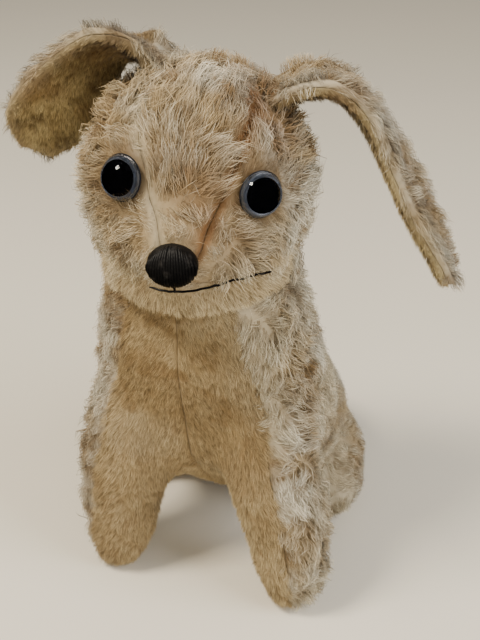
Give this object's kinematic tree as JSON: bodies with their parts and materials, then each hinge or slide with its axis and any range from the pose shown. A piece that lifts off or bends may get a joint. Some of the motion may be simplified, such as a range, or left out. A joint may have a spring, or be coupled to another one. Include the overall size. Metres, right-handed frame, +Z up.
{
  "type": "plush dog",
  "caption": "Seated plush dog with long mohair fur, a short plush chest and legs, sewn glass eyes, a stitched nose and mouth, flop ears, and a head that turns on a disc joint.",
  "frame": {"origin": "on the floor, under the middle of the seated dog's bounding box", "axes": "+Z up from the floor, -Y towards where the dog's body faces, +X towards the dog's left"},
  "size_m": [0.164, 0.203, 0.2335],
  "materials": {
    "mohair": "long, matted, silvery beige mohair pile with rust and brown patches",
    "plush": "short golden tan plush",
    "lining": "short dark gold plush, brushed on the slant",
    "stuffing": "packed wood wool and kapok",
    "thread": "thick black mercerised thread in satin stitch",
    "clear_glass": "clear polished dome",
    "black_glass": "black polished glass",
    "enamelled_glass": "blue grey enamel behind the dome, dark at the rim",
    "steel": "plain wire and stamped washers",
    "fibreboard": "pressed brown fibreboard"
  },
  "bodies": {
    "body": {"chest_panel_left": "plush", "chest_panel_right": "plush", "side_panel_left": "mohair", "side_panel_right": "mohair", "belly_panel": "plush", "body_stuffing": "stuffing", "neck_disc_body": "fibreboard", "neck_washer_body": "steel"},
    "head": {"neck_disc_head": "fibreboard", "neck_washer_head": "steel", "neck_split_pin": "steel", "head_gusset": "mohair", "head_side_left": "mohair", "head_side_right": "mohair", "chin_panel": "plush", "head_stuffing": "stuffing", "eye_glass_left": "clear_glass", "eye_pupil_left": "black_glass", "eye_back_left": "enamelled_glass", "eye_shank_left": "steel", "eye_glass_right": "clear_glass", "eye_pupil_right": "black_glass", "eye_back_right": "enamelled_glass", "eye_shank_right": "steel", "nose_stitches": "thread", "mouth_stitches": "thread"},
    "ear_left": {"ear_outer_left": "mohair", "ear_lining_left": "lining"},
    "ear_right": {"ear_outer_right": "mohair", "ear_lining_right": "lining"},
    "tail": {"tail_upper": "mohair", "tail_under": "plush", "tail_stuffing": "stuffing"}
  },
  "joints": [
    {"name": "neck_swivel", "type": "hinge", "parent": "body", "child": "head", "pos_m": [-0.01017, -0.04952, 0.144], "axis": [0, 0, 1], "continuous": true},
    {"name": "ear_left_flop", "type": "hinge", "parent": "head", "child": "ear_left", "pos_m": [0.01745, -0.03802, 0.2115], "axis": [0.225, -0.9744, 0], "range_deg": [-20, 30], "stiffness_Nm_per_rad": 0.3},
    {"name": "ear_right_flop", "type": "hinge", "parent": "head", "child": "ear_right", "pos_m": [-0.02631, -0.04627, 0.2218], "axis": [-0.225, 0.9744, 0], "range_deg": [-8, 20], "stiffness_Nm_per_rad": 0.3},
    {"name": "tail_flex", "type": "hinge", "parent": "body", "child": "tail", "pos_m": [-0.01017, 0.07578, 0.022], "axis": [0, 0, 1], "range_deg": [-35, 35], "stiffness_Nm_per_rad": 0.1}
  ]
}
